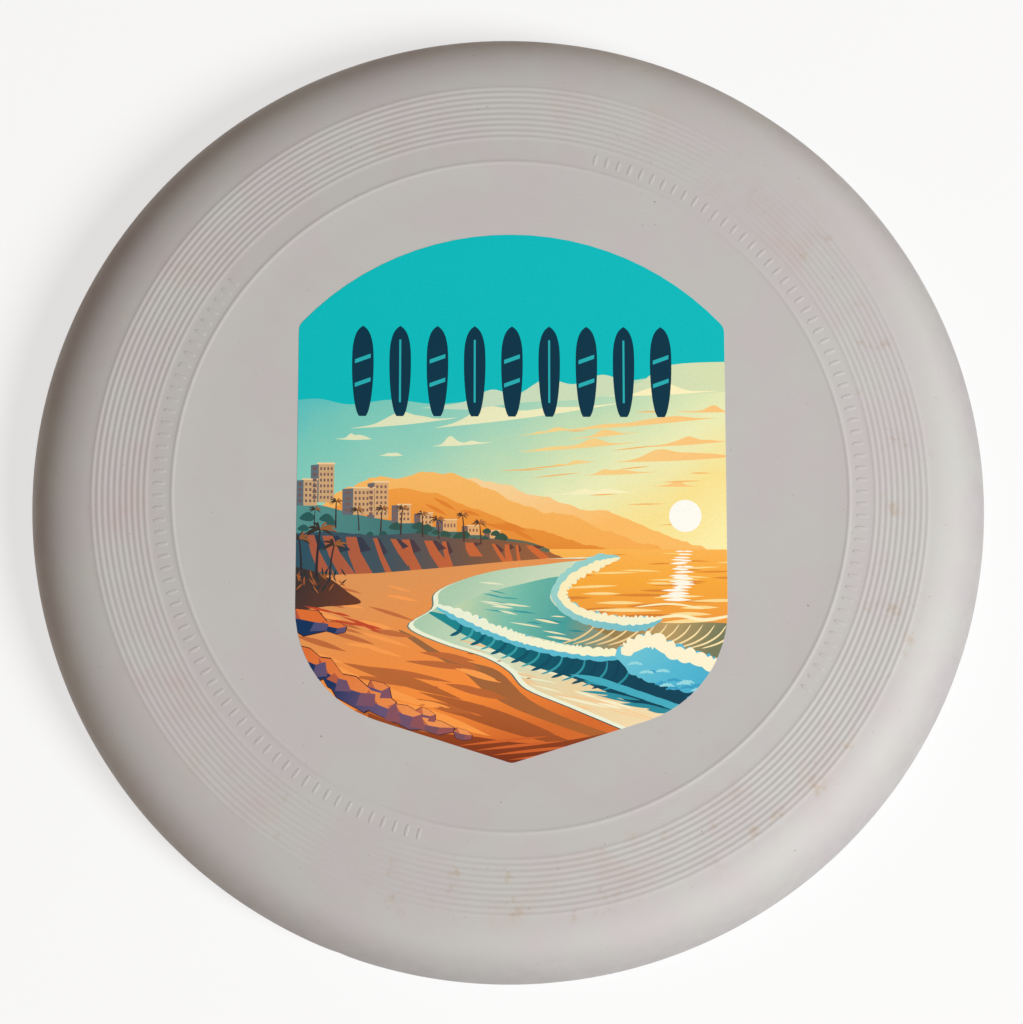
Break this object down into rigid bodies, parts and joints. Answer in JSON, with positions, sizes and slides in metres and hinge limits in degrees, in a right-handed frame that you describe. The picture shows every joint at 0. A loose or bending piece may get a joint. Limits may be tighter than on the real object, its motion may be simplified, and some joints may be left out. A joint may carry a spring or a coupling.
{
  "type": "flying disc",
  "caption": "Round moulded plastic throwing disc, domed on top and hollow below, with fine ridges on a sloping band and a shield-shaped printed picture.",
  "frame": {"origin": "middle of the circle that the rim rests on, at the level of the surface under it", "axes": "+Z is the disc's turning axis, out of its convex printed side; +Y points to the top of the printed picture; +X to the picture's right"},
  "size_m": [0.235, 0.235, 0.0264],
  "materials": {
    "moulded_plastic": "satin",
    "printed_ink": "satin"
  },
  "bodies": {
    "root": {"disc_body": "moulded_plastic", "printed_artwork": "printed_ink"}
  },
  "joints": []
}
